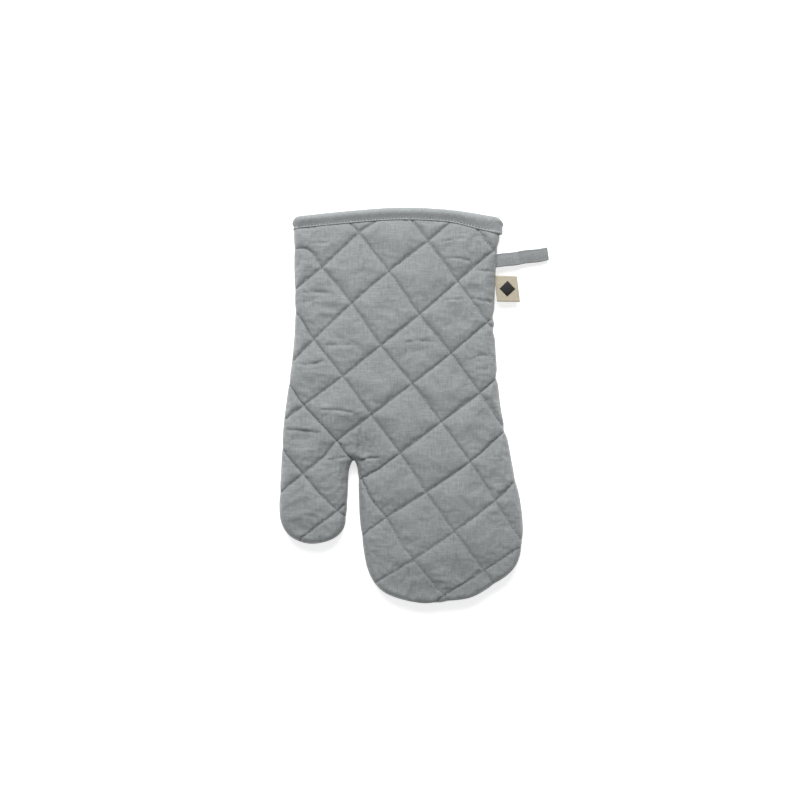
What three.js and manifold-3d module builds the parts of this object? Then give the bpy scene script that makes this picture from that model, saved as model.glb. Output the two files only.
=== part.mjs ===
// A quilted oven mitt lying on its back, palm side up, cuff towards +Y and fingers towards -Y.
// Millimetres, +Z up. Two quilted panels, each of outer cloth, wadding and lining, are sewn together
// round the edge and bound at the mouth. The bag that they make is cut at two fold lines, so that the
// thumb and the finger pocket can each turn towards the palm.
import * as THREE from "three";
import { mergeVertices } from "three/addons/utils/BufferGeometryUtils.js";
import Module from "manifold-3d";

const wasm = await Module();
wasm.setup();

// ---- Driving dimensions -------------------------------------------------------------------------

const GAP = 0.3; // clearance kept between separate pieces
const SEAM_Z = 9.5; // height of the side seam over the surface that the mitt lies on
const TOP_Z = 26; // height of the palm panel's flat middle
const EDGE_ROUND = 15; // how far in from the seam the panels curve before they run flat

const CLOTH = 1.4; // outer cloth, with the quilting groove's depth
const WADDING = 3.8;
const LINING = 0.6;
const WADDING_IN = CLOTH + GAP; // each layer's outer face, as a depth below the mitt's skin
const LINING_IN = WADDING_IN + WADDING + GAP;
const PANEL = LINING_IN + LINING;

const QUILT_PITCH = 40; // between parallel quilting lines
const QUILT_ANGLES = [-52.7, 38.9]; // of the two families of lines, from +X
const QUILT_CROSSING = [-4.4, 265.6]; // a point where two quilting lines cross
const THREAD = 0.6;
const GROOVE = THREAD + 2 * GAP;

const BINDING_WIDTH = 10; // along the mitt, from the mouth's edge
const BINDING_TAPE = 1;
const BINDING_IN = 0.6; // depth of the binding's outer face below the skin
const TONGUE_IN = BINDING_IN + BINDING_TAPE + GAP; // the pressed panel edge inside the binding
const TONGUE = 1.8;

const ALLOWANCE_IN = PANEL + 1.2; // depth below the skin, at the seam, of the turned-in allowance
const ALLOWANCE_WIDTH = 7;
const ALLOWANCE_THICK = 2;

const CROTCH = new THREE.Vector2(-34.7, 116); // where the thumb leaves the hand
const THUMB_FOLD = { turn: 226.6, from: 18 }; // direction from palm to thumb tip, distance past the crotch
const FINGER_FOLD = { turn: -82.5, from: 24 };
const FOLD_GAP = 0.6; // between the bodies that a fold joins

const LOOP = { at: 276.5, length: 42, width: 10.5, tape: 1.1, gap: 5.6, clear: 0.3, turn: 8.5 };
const LABEL = { at: 253.5, length: 20.5, width: 19.5, thick: 1, clear: 0.5, turn: -2 };

const COLOURS = {
  cloth: [0x969c9d, 0.9],
  wadding: [0xe9e6dd, 1],
  lining: [0xa7acac, 0.9],
  binding: [0x8e9495, 0.85],
  thread: [0x7f8586, 0.7],
  label: [0xbdb39c, 0.8],
};

// ---- The mitt's outline, at the seam ------------------------------------------------------------

// Each stretch is a smooth curve through its points. The sides run on past the mouth, and are trimmed there.
const OVERRUN = 40;
const LEFT_SIDE = [[-82, 290], [-82, 215], [-90, 142], [-94.2, 74]];
const THUMB_TIP = [[-89, 59.5], [-68, 48.8], [-48, 55], [-41, 74]];
const CROTCH_ARC = [[-38.4, 110], [-34.7, 116], [-31, 109]];
const FINGERTIP = [[-28.4, 62], [-14, 17.5], [23, 0], [58, 5], [87, 23], [102.3, 60]];
const RIGHT_SIDE = [[95, 112], [83, 168], [79.3, 230], [82, 290]];
// The mouth's edge, an arch across the top.
const MOUTH = [[-84, 310.5], [-45, 315.5], [2, 319], [45, 315.5], [85, 307.5]];
const MOUTH_MARGIN = 30;

const vectors = (points) => points.map(([x, y]) => new THREE.Vector2(x, y));

function mittShape() {
  const shape = new THREE.Shape();
  shape.moveTo(LEFT_SIDE[0][0], LEFT_SIDE[0][1] + OVERRUN);
  shape.lineTo(...LEFT_SIDE[0]);
  for (const stretch of [LEFT_SIDE.slice(1), THUMB_TIP, CROTCH_ARC, FINGERTIP, RIGHT_SIDE])
    shape.splineThru(vectors(stretch));
  shape.lineTo(RIGHT_SIDE.at(-1)[0], RIGHT_SIDE.at(-1)[1] + OVERRUN);
  return shape;
}

const OUTLINE = mittShape();
const OUTLINE_STEPS = 2; // points kept on each span of an outline curve

// ---- Solids --------------------------------------------------------------------------------------

// A closed three.js geometry as a solid that can be joined and cut.
function solid(geometry) {
  const bare = geometry.clone();
  bare.deleteAttribute("normal");
  bare.deleteAttribute("uv");
  const merged = mergeVertices(bare, 1e-4);
  return new wasm.Manifold(new wasm.Mesh({
    numProp: 3,
    vertProperties: merged.attributes.position.array,
    triVerts: new Uint32Array(merged.index.array),
  }));
}

function geometryOf(made) {
  const mesh = made.getMesh();
  const geometry = new THREE.BufferGeometry();
  geometry.setAttribute("position", new THREE.BufferAttribute(mesh.vertProperties, 3));
  geometry.setIndex(new THREE.BufferAttribute(mesh.triVerts, 1));
  geometry.computeVertexNormals();
  return geometry;
}

const join = (solids) => solids.reduce((all, next) => all.add(next));

// One half of the mitt's bag, as a solid pillow whose surface lies `depth` below the skin:
// side +1 is the half over the seam, and -1 the half under it.
function pillow(depth, side) {
  const reach = (side > 0 ? TOP_Z - SEAM_Z : SEAM_Z) - depth;
  const straight = 1;
  const round = EDGE_ROUND - depth;
  const geometry = new THREE.ExtrudeGeometry(OUTLINE, {
    depth: straight,
    curveSegments: OUTLINE_STEPS,
    bevelEnabled: true,
    bevelSegments: 3,
    bevelThickness: reach - straight / 2,
    bevelSize: round,
    bevelOffset: -round - depth,
  });
  return solid(geometry.translate(0, 0, SEAM_Z - straight / 2));
}

const FAR = 1000; // a size that passes every side of the mitt

// The upright prism over a closed polygon.
function prism(points) {
  const shape = new THREE.Shape(points);
  const geometry = new THREE.ExtrudeGeometry(shape, { depth: 2 * FAR, bevelEnabled: false });
  return solid(geometry.translate(0, 0, -FAR));
}

// The slab of space beyond a line: `from` is its distance past the crotch along direction `turn`.
function beyond({ turn, from }) {
  const geometry = new THREE.BoxGeometry(FAR, FAR, FAR).translate(FAR / 2 + from, 0, 0);
  geometry.rotateZ(THREE.MathUtils.degToRad(turn)).translate(CROTCH.x, CROTCH.y, 0);
  return solid(geometry);
}

// The space that is further up the mitt than the mouth's edge, moved down by `below`.
function pastMouth(below) {
  const arch = new THREE.SplineCurve(vectors(MOUTH)).getPoints(16);
  const [first, last] = [arch[0], arch.at(-1)];
  const line = [
    new THREE.Vector2(first.x - MOUTH_MARGIN, first.y),
    ...arch,
    new THREE.Vector2(last.x + MOUTH_MARGIN, last.y),
  ].map((p) => p.clone().setY(p.y - below));
  const cap = [new THREE.Vector2(line.at(-1).x, FAR), new THREE.Vector2(line[0].x, FAR)];
  return prism([...line, ...cap]);
}

// The space over or under the seam, which starts half of `gap` away from the seam's plane.
function half(side, gap) {
  return solid(new THREE.BoxGeometry(FAR, FAR, FAR).translate(0, 0, SEAM_Z + side * (FAR + gap) / 2));
}

// The thin shell that starts `outer` below the skin, on one side of the seam.
function layer(outer, thick, side, gap = GAP) {
  return pillow(outer, side).subtract(pillow(outer + thick, side)).intersect(half(side, gap));
}

// ---- Where each body begins ----------------------------------------------------------------------

const notPastMouth = (made, below) => made.subtract(pastMouth(below));
const leftOfCrotch = prism(vectors([
  [-FAR, -FAR], [CROTCH.x, -FAR], [CROTCH.x, CROTCH.y], [-FAR, CROTCH.y + FAR],
]));
const rightOfCrotch = prism(vectors([[CROTCH.x, -FAR], [FAR, -FAR], [FAR, FAR], [CROTCH.x, FAR]]));
const fold = ({ turn, from }, side) => ({ turn, from: from + side * FOLD_GAP / 2 });

const REGIONS = {
  thumb: beyond(fold(THUMB_FOLD, 1)).intersect(leftOfCrotch),
  finger: beyond(fold(FINGER_FOLD, 1)).intersect(rightOfCrotch),
};
const NOT_HAND = beyond(fold(THUMB_FOLD, -1)).intersect(leftOfCrotch)
  .add(beyond(fold(FINGER_FOLD, -1)).intersect(rightOfCrotch));
const inBody = {
  hand: (made) => made.subtract(NOT_HAND),
  thumb: (made) => made.intersect(REGIONS.thumb),
  finger: (made) => made.intersect(REGIONS.finger),
};

// ---- Quilting ------------------------------------------------------------------------------------

// Upright walls of one thickness along every quilting line.
function quiltWalls(thick) {
  const across = 12; // lines to each side of the crossing, enough to pass the mitt's ends
  return join(QUILT_ANGLES.flatMap((angle) => {
    const walls = [];
    for (let i = -across; i <= across; i++) {
      const wall = new THREE.BoxGeometry(FAR, thick, 100).translate(0, i * QUILT_PITCH, 0);
      wall.rotateZ(THREE.MathUtils.degToRad(angle)).translate(...QUILT_CROSSING, 0);
      walls.push(solid(wall));
    }
    return walls;
  }));
}

const THREAD_WALLS = quiltWalls(THREAD);
const GROOVE_WALLS = quiltWalls(GROOVE);
const THREAD_IN = 0.1; // depth of the quilting thread's outer face

// The main body of a cut solid, without the loose ends that a cut leaves in the corners.
const biggest = (made) => made.decompose().reduce((a, b) => (a.volume() > b.volume() ? a : b));

// ---- The object ----------------------------------------------------------------------------------

const mitt = new THREE.Group();

function addMesh(name, geometry, look) {
  const [color, roughness] = COLOURS[look];
  const mesh = new THREE.Mesh(geometry, new THREE.MeshStandardMaterial({ color, roughness, metalness: 0 }));
  mesh.name = name;
  mitt.add(mesh);
  return mesh;
}

const SIDES = { palm: 1, back: -1 };
const FRONT = 0.05; // how far the groove's cutter stands proud of the skin

// The cloth, wadding, lining and quilting thread of one panel, cut at the folds.
function addPanel(panel, side) {
  const groove = pillow(-FRONT, side).subtract(pillow(CLOTH - GAP, side)).intersect(GROOVE_WALLS);
  const cloth = notPastMouth(layer(0, CLOTH, side), BINDING_WIDTH + GAP).subtract(groove);
  const thread = notPastMouth(layer(THREAD_IN, THREAD, side), BINDING_WIDTH + GAP).intersect(THREAD_WALLS);
  const lining = notPastMouth(layer(LINING_IN, LINING, side), BINDING_WIDTH + GAP);
  const tongue = notPastMouth(layer(TONGUE_IN, TONGUE, side), BINDING_TAPE + GAP);
  const wadding = notPastMouth(layer(WADDING_IN, WADDING, side), BINDING_WIDTH + GAP).add(tongue);
  for (const [body, cut] of Object.entries(inBody)) {
    const start = body === "hand" ? panel : `${body}_${panel}`;
    addMesh(`${start}_outer_cloth`, geometryOf(biggest(cut(cloth))), "cloth");
    addMesh(`${start}_wadding`, geometryOf(biggest(cut(wadding))), "wadding");
    addMesh(`${start}_lining`, geometryOf(biggest(cut(lining))), "lining");
    addMesh(`${start}_quilting_thread`, geometryOf(biggest(cut(thread))), "thread");
  }
}

for (const [panel, side] of Object.entries(SIDES)) addPanel(panel, side);

// The tape folded over the mouth's edge, a channel that holds the pressed edges of both panels.
function addBinding() {
  const ring = (outer, thick) => join(Object.values(SIDES).map((side) => layer(outer, thick, side, 0)));
  const whole = ring(BINDING_IN, 2 * (BINDING_TAPE + GAP) + TONGUE);
  const tape = notPastMouth(whole, 0).intersect(pastMouth(BINDING_WIDTH));
  const inside = notPastMouth(ring(BINDING_IN + BINDING_TAPE, TONGUE + 2 * GAP), BINDING_TAPE);
  addMesh("cuff_binding", geometryOf(tape.subtract(inside)), "binding");
}

addBinding();

// The seam allowance, a flat strip turned in along the seam, which the fold lines cut into runs.
function addAllowances() {
  const chamfer = 0.01; // a bevel too small to matter, which lets the outline be moved in
  const flat = (depth) => solid(new THREE.ExtrudeGeometry(OUTLINE, {
    depth: ALLOWANCE_THICK,
    curveSegments: OUTLINE_STEPS,
    bevelSegments: 1,
    bevelThickness: chamfer,
    bevelSize: chamfer,
    bevelOffset: -depth - chamfer,
  }).translate(0, 0, SEAM_Z - ALLOWANCE_THICK / 2));
  const ring = flat(ALLOWANCE_IN).subtract(flat(ALLOWANCE_IN + ALLOWANCE_WIDTH));
  const strip = notPastMouth(ring, BINDING_WIDTH + GAP);
  const middle = (made) => {
    const box = made.boundingBox();
    return (box.min[0] + box.max[0]) / 2;
  };
  const runs = inBody.hand(strip).decompose().sort((a, b) => middle(a) - middle(b)); // from the thumb's side
  ["left", "crotch", "right"].forEach((name, i) => {
    addMesh(`${name}_seam_allowance`, geometryOf(runs[i]), "lining");
  });
  addMesh("thumb_seam_allowance", geometryOf(biggest(inBody.thumb(strip))), "lining");
  addMesh("finger_seam_allowance", geometryOf(biggest(inBody.finger(strip))), "lining");
}

addAllowances();

// Where the right-hand seam is, at a height up the mitt.
function seamX(y) {
  const points = OUTLINE.getPoints(12).filter((p) => p.x > 0);
  const next = points.findIndex((p) => p.y > y);
  const [a, b] = [points[next - 1], points[next]];
  return THREE.MathUtils.mapLinear(y, a.y, b.y, a.x, b.x);
}

// Everything within the room that the loop and the label need round the skin, to swing on the seam.
const SWING_CLEARANCE = 0.9;
const NEAR_SKIN = join(Object.values(SIDES).map((side) => pillow(-SWING_CLEARANCE, side)));

// A piece sewn into the right-hand seam: `shape` runs along +X from the seam, and reaches ROOT into it.
const ROOT = 2;
function addAtSeam(name, shape, look, { at, turn }) {
  shape.translate(-ROOT, 0, 0).rotateZ(THREE.MathUtils.degToRad(turn)).translate(seamX(at), at, SEAM_Z);
  addMesh(name, geometryOf(solid(shape).subtract(NEAR_SKIN)), look);
}

// A tape loop: its two layers leave the seam together, droop, and part towards the fold at its end.
function addLoop() {
  const { length, width, tape, gap, clear } = LOOP;
  const low = clear + tape / 2 - SEAM_Z; // the middle of the lower layer where it lies level
  const high = low + tape + gap;
  const end = ROOT + length - tape / 2;
  const round = (high - low) / 2;
  const together = (tape + GAP) / 2; // from the middle of each layer to the seam's plane
  const route = [
    [0, -together], [8, -together - 0.3], [14, -2.4], [21, low + 1.2], [28, low],
    [end - round, low], [end - round * 0.3, low + round * 0.3], [end, low + round],
    [end - round * 0.3, high - round * 0.3], [end - round, high],
    [28, high], [21, high + 0.8], [14, together], [8, together], [0, together],
  ].map(([x, z]) => new THREE.Vector3(x, 0, z));
  const section = new THREE.Shape(vectors([
    [-width / 2, -tape / 2], [width / 2, -tape / 2], [width / 2, tape / 2], [-width / 2, tape / 2],
  ]));
  const path = new THREE.CatmullRomCurve3(route);
  const band = new THREE.ExtrudeGeometry(section, { steps: 44, extrudePath: path });
  addAtSeam("hanging_loop", band, "binding", LOOP);
}

addLoop();

// A label that droops from the seam to just over the surface.
function addLabel() {
  const { length, width, thick, clear } = LABEL;
  const droop = Math.asin((SEAM_Z - thick / 2 - clear) / length);
  const tab = new THREE.BoxGeometry(ROOT + length, width, thick).translate((length - ROOT) / 2, 0, 0);
  addAtSeam("label_tab", tab.rotateY(droop).translate(ROOT, 0, 0), "label", LABEL);
}

addLabel();

// The origin is the middle of the bounding box's underside.
mitt.updateMatrixWorld(true);
const bounds = new THREE.Box3().setFromObject(mitt);
const middle = bounds.getCenter(new THREE.Vector3());
mitt.position.set(-middle.x, -middle.y, -bounds.min.z);

export default mitt;
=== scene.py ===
"""A quilted oven mitt of grey chambray, lying flat on its back panel: palm side up, cuff towards +Y.

The outer cloth of both panels is one mesh, cut along the quilting lines. Blender's cloth puffs it up
between them. It then gets the wadding's thickness, and is parted at the thumb's quilting line into the
thumb's piece and the hand's. Sizes are in millimetres in the row frame until a mesh
is made, and in metres from there on.
"""

import math

import bpy
import numpy as np
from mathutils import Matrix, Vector
from mathutils.geometry import delaunay_2d_cdt
from mathutils.kdtree import KDTree


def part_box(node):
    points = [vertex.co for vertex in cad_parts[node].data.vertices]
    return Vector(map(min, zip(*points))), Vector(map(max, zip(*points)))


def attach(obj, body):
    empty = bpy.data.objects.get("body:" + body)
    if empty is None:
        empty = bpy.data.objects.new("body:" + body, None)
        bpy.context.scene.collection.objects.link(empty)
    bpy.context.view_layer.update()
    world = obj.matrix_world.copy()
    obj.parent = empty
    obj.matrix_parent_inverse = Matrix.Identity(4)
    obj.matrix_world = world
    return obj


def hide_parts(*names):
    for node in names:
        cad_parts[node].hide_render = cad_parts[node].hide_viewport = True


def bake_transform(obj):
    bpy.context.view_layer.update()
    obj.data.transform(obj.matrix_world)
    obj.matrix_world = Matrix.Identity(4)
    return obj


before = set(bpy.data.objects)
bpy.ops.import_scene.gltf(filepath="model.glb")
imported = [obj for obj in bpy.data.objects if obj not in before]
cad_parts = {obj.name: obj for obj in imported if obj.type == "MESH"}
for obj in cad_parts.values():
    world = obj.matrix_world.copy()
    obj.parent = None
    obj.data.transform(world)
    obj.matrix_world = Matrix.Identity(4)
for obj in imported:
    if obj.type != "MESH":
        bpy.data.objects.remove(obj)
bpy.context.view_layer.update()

MM = 0.001

# ---- Driving dimensions, in mm ---------------------------------------------------------------------

STEP = 1.65  # spacing of the cloth mesh
LINING_STEP = 3.2
ROW = 0.85  # distance from a quilting line to the mesh rows beside it
CURVE_STEP = 1.0  # spacing of the points along an outline or a quilting line
SPAN_POINTS = 24  # points that a curve is worked out at between two of its given points
CROSSING_STEP = 0.25  # how closely a line is followed to where it crosses the outline
# Shares of the mesh's spacing: points are kept this far off the outline, and a line that stops
# this near the outline is led on to it.
EDGE_CLEAR = 0.6
END_REACH = 3
GRID_CLEAR = 0.5
ROW_CLEAR = 0.85  # the same off a line, as a share of ROW
TINY = 1e-4
ON_LINE = 0.02  # a mesh point this near a quilting line is on it
FLOOR_CLEAR = 0.25  # the lowest that the cloth lies

SEAM_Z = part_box("palm_outer_cloth")[0][2] / MM - 0.2  # height of the side seam
PALM_RISE = 12.0  # from the seam up to the palm's quilting lines
BACK_DROP = 7.4  # from the seam down to the back's quilting lines
EDGE_ROUND = 9  # how far in from the seam the panels curve
TIP_EDGE_ROUND = 5  # the same, at the tips
PALM_DOME = 0.42  # how much lower a panel is by the seam than in the middle
BACK_DOME = 0.1
DOME_WIDTH = 48
PANEL_THICK = 4.3  # cloth and wadding, at a quilting line
SEAM_THICK = 5.5  # the same, at the side seam
INNER_ROUND = 20  # how far in from the seam the wadding's inner face curves
LINING_GAP = 0.15
LINING_THICK = 0.6

NOTCH_LEFT = 0.2  # how far a quilting line's end pulls the side seam in
NOTCH_RIGHT = 1.1
NOTCH_WIDTH = 4.0
NOTCH_LOWEST = -60  # below here the right side is pulled in no more than the left
BULGE = 0.3  # how far the seam stands out between them
TIP_START = -50  # below here the mitt's tips get flatter, by this share over this length
TIP_LENGTH = 75
TIP_FLAT = 0.7
LINE_SINK = 0.2  # how far the stitches pull the cloth down into the wadding
STITCH_PULL = 0.4  # how much further the tightest of them do
PULL_SEED = 5
MOUTH_BACK = 2.0  # the panels end this far inside the binding's edge

PUFF = 2.8  # how far the wadding lifts the cloth at first
PUFF_ROUND = 14
SLACK = 0.016  # how much larger the cloth is cut than it lies, in the middle of a panel
SLACK_BY_SEAM = 0.04  # the same, next to the side seam, where it gathers
SLACK_WIDTH = 45
PRESSURE = 5.0
BENDING = 0.5
CLOTH_MASS = 0.3
STRETCH = 15
SHEAR = 5
DAMPING = 5
FRAMES = 16
MOVE_CAP = 4.0
JITTER = 0.05  # tiny unevenness that the wrinkles start from
JITTER_SEED = 3

BINDING_LEG = 9.6  # depth of the binding on the outside
BINDING_STITCH = 8.7
BINDING_STITCH_DEPTH = -0.55
BINDING_WAVE = 0.06
WAVE_COUNTS = (41, 17)
RING_COUNT = 110
# The binding's section as (depth into the panel, distance down from the mouth's edge).
BINDING_SECTION = [
    (0.1, 10.3), (-0.9, 10.3), (-1.7, 10.0), (-1.75, 9.6), (-0.3, 8.7), (-0.45, 8.1), (-1.1, 6.9),
    (-2.0, 5.3), (-2.6, 3.9), (-2.6, 2.9), (-2.0, 1.5), (-0.7, 0.3), (1.6, 0.0), (3.4, 0.3), (4.8, 1.4),
    (5.6, 3.2), (5.8, 5.2), (5.6, 7.0), (5.2, 8.1), (5.0, 8.6), (5.3, 9.0), (5.4, 9.6), (5.0, 10.0),
    (4.6, 9.9), (4.5, 2.6), (2.2, 1.9), (-0.1, 2.6),
]
MIDDLE_OF_LEG = 6  # which of these points the tape's length is taken along
OUTER_FACE = 0.3  # those with less depth than this are on the outside
CORNER_ROUND = 3.6  # radius of the binding's two top corners
CORNER_WIDTH = 7.0  # how far in from them the binding changes
CORNER_FLAT = 0.55  # how much thinner the binding is round the left corner
CORNER_DEPTH = -2.0  # how far its lower half stands out at the right corner
LOWER_HALF = (3, 10.2)  # that half's ends, down from the mouth's edge
BINDING_FLARE = 0.34  # how much deeper the binding gets towards the loop's side
FLARE_START = 22.0  # from this x on, over this length
FLARE_LENGTH = 46.0

STITCH_LONG = 1.7  # one quilting stitch
STITCH_GAP = 0.8
STITCH_STEP = 0.3  # how closely a stitch follows its line
THREAD = 0.7
THREAD_SIDES = 5
# A stitch along its length: share of it, height over the cloth in mm, share of the thread's thickness.
STITCH_SHAPE = np.array([
    (0, -0.25, 0.6), (0.2, 0.12, 1), (0.5, 0.25, 1), (0.8, 0.12, 1), (1, -0.25, 0.6),
])
SHORTEST_RUN = 8  # shorter ends of quilting lines are left out, in points of RUN_STEP
RUN_STEP = 0.5
RUN_OUTLINE_STEP = 2.0
TOPSTITCH_ENDS = (0.02, 0.98)  # where the binding's stitches start and end, as shares of the mouth
TOPSTITCH_POINTS = 200

LOOP_ROOT_Y = 117.3
LOOP_TURN = 8.2
LOOP_WIDTH = 10.6
LOOP_THICK = 1.15
# The loop's middle line from the side seam out to its fold and back, as (out, up from the seam).
LOOP_PATH = [
    (0, 0.6), (8, -0.1), (19, -1.4), (20.2, -2.5), (21.3, -1.7), (32, -2.6), (40.5, -3.8),
    (43.2, -5.4), (41.2, -7.0), (32, -7.4), (18, -6.6), (8, -3.2), (0, -0.8),
]
LOOP_SEWN_IN = 1.2
LOOP_STEP = 0.8
LOOP_WOBBLE = 0.25  # how far it wanders sideways, this often, in full from this far out
WOBBLE_RATE = 0.31
WOBBLE_START = 20
TWIST_LENGTH = 3
LOOP_TWIST = 10  # how far its outer half lies turned about its length, in degrees
LOOP_CREASE = 20.2  # how far out that half starts
LABEL_ROOT = (66.1, 95.0)
LABEL_TURN = -1.0
LABEL_SLANT = 0.14  # how far its fold slants from its sewn edge
LABEL_WIDTH = 21.0
LABEL_THICK = 0.7
LABEL_PATH = [
    (0, 0.5), (6, 0.4), (12, -0.4), (17.6, -1.9), (18.4, -2.5),
    (17.6, -3.0), (12, -1.6), (6, -0.9), (0, -0.5),
]
LABEL_STEP = 0.5
MARK_X = 9.5  # the woven mark's middle, out from the seam
MARK_HALF = 6.4
MARK_ROWS = 14
MARK_PITCH = 0.43
MARK_RISE = 0.05
# A tape's section as shares of half its width and half its thickness: a stitched hollow near each edge.
TAPE_SECTION = [
    (-1, 0), (-0.97, 0.75), (-0.86, 1), (-0.78, 0.72), (-0.68, 1), (0, 0.9), (0.68, 1),
    (0.78, 0.72), (0.86, 1), (0.97, 0.75), (1, 0), (0.97, -0.75), (0.86, -1), (0.78, -0.72),
    (0.68, -1), (0, -0.9), (-0.68, -1), (-0.78, -0.72), (-0.86, -1), (-0.97, -0.75),
]

BACK_OFFSET = np.array([237.0, 91.0])  # the back is cut from another place in the cloth
FLAT_MAP = "flat_cloth"
DECIMETRES = 0.01  # from mm, for the flat cloth's coordinates

# The studio, in metres.
SENSOR = 36
CAMERA_HEIGHT = 1.4
CAMERA_FOCUS_Z = 0.015
VIEW_WIDTH = 0.6448
VIEW_CENTRE = (-0.0113, 0.0048)
WORLD_STRENGTH = 0.36
KEY_PLACE = (-0.12, 1.05, 1.05)
KEY_SIZE = 1.25
KEY_POWER = 34
FLOOR_GLOW = 0.6
FLOOR_SHADE = 0.8
FLOOR_HALF = 30.0

# ---- The mitt's outline and its quilting lines, in mm in the row frame ------------------------------

# The side seam: down the thumb's side, round the thumb, the crotch and the fingertips, and up again.
SEAM = [
    (-97, 166), (-96.8, 140), (-96.5, 112), (-95.9, 68), (-98, 40), (-101.5, 14), (-105.4, -18),
    (-107.2, -52), (-108.6, -80), (-106.8, -95), (-99, -106), (-84, -111.3), (-67, -108), (-57.2, -99),
    (-54.4, -83), (-53.5, -60), (-52.2, -49.5), (-48.9, -43.6), (-45.8, -49), (-44.6, -62),
    (-43.7, -88), (-41, -112), (-36.8, -133), (-27.8, -147.5), (-13, -155.4), (10, -159.5), (34, -157),
    (49, -153.6), (69, -141.3), (79, -133.2), (85, -122.5), (87.9, -103), (85.9, -78), (80.3, -53),
    (75.5, -27), (70, -2), (66.8, 30), (64.8, 68), (65.8, 108), (67.9, 124), (68.8, 137), (70, 166),
]
MOUTH = [(-112, 151), (-97.5, 152.8), (-54, 156.7), (-12, 159.5), (29, 157.8), (66, 152.8), (84, 150.5)]

# Where the thumb's cloth meets the hand's: the quilting line from the thumb's side to the crotch.
THUMB_LINE = [(-101, 19.3), (-98.6, 15), (-88.7, 0.6), (-62.1, -28.2), (-54.4, -38.6), (-48.9, -43.6)]

RISING_LINES = [  # up to the right, from the mouth down
    [(-97, 93), (-74.2, 111.2), (-44.3, 138.6), (-30, 149), (-18, 160)],
    [(-98, 36), (-80.6, 53.4), (-50, 82.2), (-20.2, 108), (11.3, 132.2), (29, 147.5), (40, 158)],
    [(-104, -10.5), (-88.7, 0.6), (-57.2, 23.8), (-26.6, 48.4), (4.4, 73.3), (35, 100), (48, 111.3),
     (60.5, 122.1), (69, 128)],
    [(-108.5, -70.5), (-89.5, -54.4), (-73.3, -41.2), (-62.1, -28.2), (-34.3, -7.3), (-1.4, 17.7),
     (29.7, 42.3), (53, 62), (68, 75)],
    [(-92.5, -108), (-76.6, -95.5), (-61.3, -84.2), (-52, -76)],
    [(-47, -60), (-31.4, -52.4), (-11.3, -37.9), (21.8, -12.9), (53, 10.5), (69, 25)],
    [(-45, -107), (-22.2, -89.5), (9.7, -69.3), (45.1, -44.7), (75.5, -18)],
    [(-31, -142), (-0.4, -123.3), (32.4, -100.8), (65.3, -76.2), (80.6, -61.6), (87, -53)],
    [(16, -160), (24.1, -152.7), (48.4, -137.4), (56.4, -132.2), (79.3, -117.4), (91, -111)],
]
FALLING_LINES = [  # down to the right, from the thumb's side across
    [(-108, -30), (-101.1, -41.4), (-89.5, -54.4), (-73.3, -73.3), (-61.3, -84.2), (-53, -91)],
    [(-44.8, -50.5), (-40.7, -62.1), (-33, -77), (-22.2, -89.5), (-11.3, -108.5), (-0.4, -123.3),
     (12.6, -139), (24.1, -152.7), (29, -160)],
    [(-98, 80), (-87.9, 65.3), (-80.6, 53.4), (-57.2, 23.8), (-34.3, -7.3), (-11.3, -37.9), (9.7, -69.3),
     (32.4, -100.8), (56.4, -132.2), (66, -146)],
    [(-99, 127.5), (-84.6, 125), (-74.2, 111.2), (-50, 82.2), (-26.6, 48.4), (-1.4, 17.7), (21.8, -12.9),
     (45.1, -44.7), (65.3, -76.2), (83.8, -104), (90, -111)],
    [(-60, 158), (-51.6, 147), (-44.3, 138.6), (-20.2, 108), (4.4, 73.3), (29.7, 42.3), (53, 10.5),
     (66.1, -8.1), (74, -20)],
    [(-12, 163), (-4, 152.3), (11.3, 132.2), (35, 100), (44.3, 87.9), (58.8, 68.5), (68, 57)],
    [(44, 151), (52.4, 140.5), (60.5, 130), (68, 121)],
]

CREASES = [  # folds in the palm's cloth, each with its depth
    ([(-97.5, 35.5), (-86, 33), (-70, 36)], 0.98),
    ([(-78, -3), (-60.5, -3.6), (-44, -6.4)], 0.9),
    ([(-104.8, -19), (-89.5, -20), (-74, -21.8)], 1),
    ([(-73, 48.4), (-60, 48.8), (-47.6, 48.4)], 0.62),
    ([(-43, -15), (-44.3, -29), (-45.3, -41)], 1.9),
    ([(-46.5, -45), (-36, -41.8), (-25.2, -41.4)], 1.45),
    ([(-74, -43.4), (-64, -42.6), (-53, -41)], 0.83),
    ([(16.6, 131), (28.2, 132.5), (44.3, 134.9)], 0.62),
    ([(23, 117.7), (33, 118.5), (47.6, 116)], 0.73),
    ([(44, 87.4), (55, 84.5), (65.7, 83.6)], 0.83),
    ([(49, 109.8), (58, 108.4), (66.5, 107.8)], 0.73),
    ([(22, 84.6), (31, 85.2), (42, 85.6)], 0.62),
    ([(-87, 129.8), (-78, 130.8), (-66, 130.6)], 0.68),
    ([(-92, 90.7), (-80, 91.2), (-67, 90.3)], 0.68),
    ([(-11, 49.5), (2, 52), (18, 51)], 0.56),
    ([(45, 38.6), (56, 40.6), (66, 39.8)], 0.68),
]
CREASE_WIDTH = 1.0
CREASE_TAPER = 0.2  # the share of a crease's length over which its ends run out
RIDGE_PLACE = 1.9  # the ridge beside a crease, in crease widths
RIDGE_HEIGHT = 0.6
CREASE_END = 0.5


def arc_lengths(points):
    """How far along a line each of its points is."""
    return np.concatenate([[0], np.cumsum(np.linalg.norm(np.diff(points, axis=0), axis=1))])


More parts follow.
